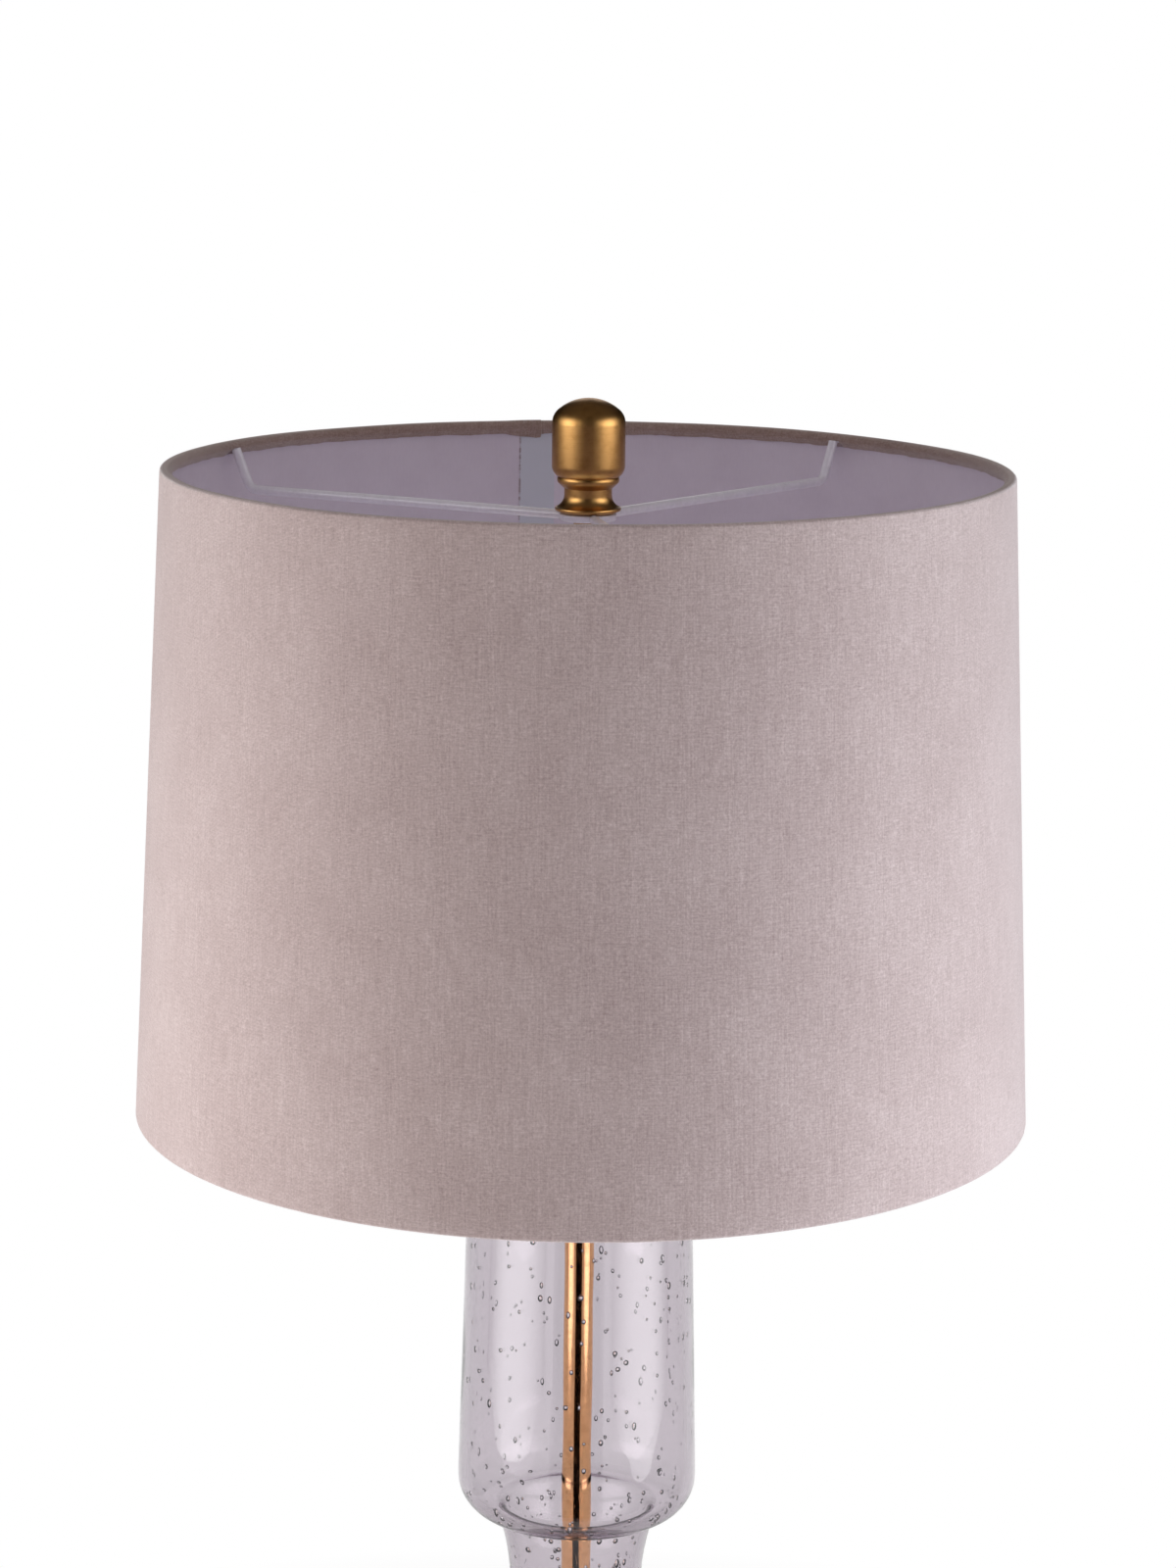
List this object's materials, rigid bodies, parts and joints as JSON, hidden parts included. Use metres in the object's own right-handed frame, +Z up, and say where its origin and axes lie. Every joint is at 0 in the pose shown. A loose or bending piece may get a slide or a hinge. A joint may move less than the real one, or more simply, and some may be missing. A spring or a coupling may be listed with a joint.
{
  "type": "candlestick lamp",
  "caption": "Table lamp with a turned clear glass column, a brass tube inside it, a linen drum shade and a brass finial.",
  "frame": {"origin": "centre of the felt face that the lamp stands on", "axes": "+Z up along the column, -Y towards the front, +Y the side where the cord enters"},
  "size_m": [0.3809, 0.381, 0.76],
  "materials": {
    "felt": "dense wool felt",
    "fibre": "pressed fibre board",
    "satin_brass": "satin antique brass",
    "bright_brass": "polished brass",
    "iron": "as cast",
    "steel": "zinc plated",
    "dark_plastic": "moulded, fine matt",
    "clear_ring": "soft translucent ring",
    "seeded_glass": "clear blown glass with seeds",
    "bare_aluminium": "bright",
    "black_glass": "black glass insulator",
    "frosted_glass": "inside frosted",
    "linen": "slubbed linen weave, greige",
    "styrene": "translucent white backing",
    "hem_linen": "turned linen edge, darker with glue",
    "white_wire": "white enamel"
  },
  "bodies": {
    "root": {"felt_pad": "felt", "base_cover": "fibre", "base_foot": "satin_brass", "base_weight": "iron", "base_washer": "steel", "base_lock_washer": "steel", "base_nut": "steel", "cord_bushing": "dark_plastic", "threaded_pipe": "steel", "rod_sleeve": "bright_brass", "glass_seat": "clear_ring", "glass_body": "seeded_glass", "cap_gasket": "clear_ring", "vase_cap": "satin_brass", "neck_spacer": "satin_brass", "lock_nut": "bright_brass", "harp_saddle": "bright_brass", "socket_cap": "bright_brass", "cap_screw": "steel", "socket_shell": "bright_brass", "socket_liner": "fibre", "socket_body": "dark_plastic", "terminal_screws": "bright_brass", "screw_shell": "bare_aluminium", "centre_contact": "bright_brass"},
    "switch": {"switch_stem": "bright_brass", "switch_knob": "dark_plastic"},
    "bulb": {"bulb_contact": "steel", "bulb_insulator": "black_glass", "bulb_cap": "bare_aluminium", "bulb_envelope": "frosted_glass"},
    "harp": {"harp_loop": "bright_brass"},
    "sleeve_left": {"harp_sleeve_left": "bright_brass"},
    "sleeve_right": {"harp_sleeve_right": "bright_brass"},
    "swivel": {"harp_stud": "bright_brass"},
    "shade": {"shade_fabric": "linen", "shade_liner": "styrene", "bottom_hem": "hem_linen", "top_hem": "hem_linen", "top_ring": "white_wire", "bottom_ring": "white_wire", "spider_hub": "white_wire", "spider_arm_one": "white_wire", "spider_arm_two": "white_wire", "spider_arm_three": "white_wire"},
    "finial": {"finial": "satin_brass"}
  },
  "joints": [
    {"name": "switch_turn", "type": "hinge", "parent": "root", "child": "switch", "pos_m": [0, -0.03, 0.4795], "axis": [0, -1, 0], "continuous": true},
    {"name": "bulb_lift", "type": "slide", "parent": "root", "child": "bulb", "axis": [0, 0, 1], "range_m": [0, 0.03]},
    {"name": "harp_lift", "type": "slide", "parent": "root", "child": "harp", "axis": [0, 0, 1], "range_m": [0, 0.014]},
    {"name": "sleeve_left_lift", "type": "slide", "parent": "harp", "child": "sleeve_left", "axis": [0, 0, 1], "range_m": [0, 0.013]},
    {"name": "sleeve_right_lift", "type": "slide", "parent": "harp", "child": "sleeve_right", "axis": [0, 0, 1], "range_m": [0, 0.013]},
    {"name": "shade_turn", "type": "hinge", "parent": "harp", "child": "swivel", "pos_m": [0, 0, 0.703], "axis": [0, 0, 1], "continuous": true},
    {"name": "shade_lift", "type": "slide", "parent": "swivel", "child": "shade", "axis": [0, 0, 1], "range_m": [0, 0.28]},
    {"name": "finial_turn", "type": "hinge", "parent": "shade", "child": "finial", "pos_m": [0, 0, 0.72], "axis": [0, 0, 1], "continuous": true}
  ]
}
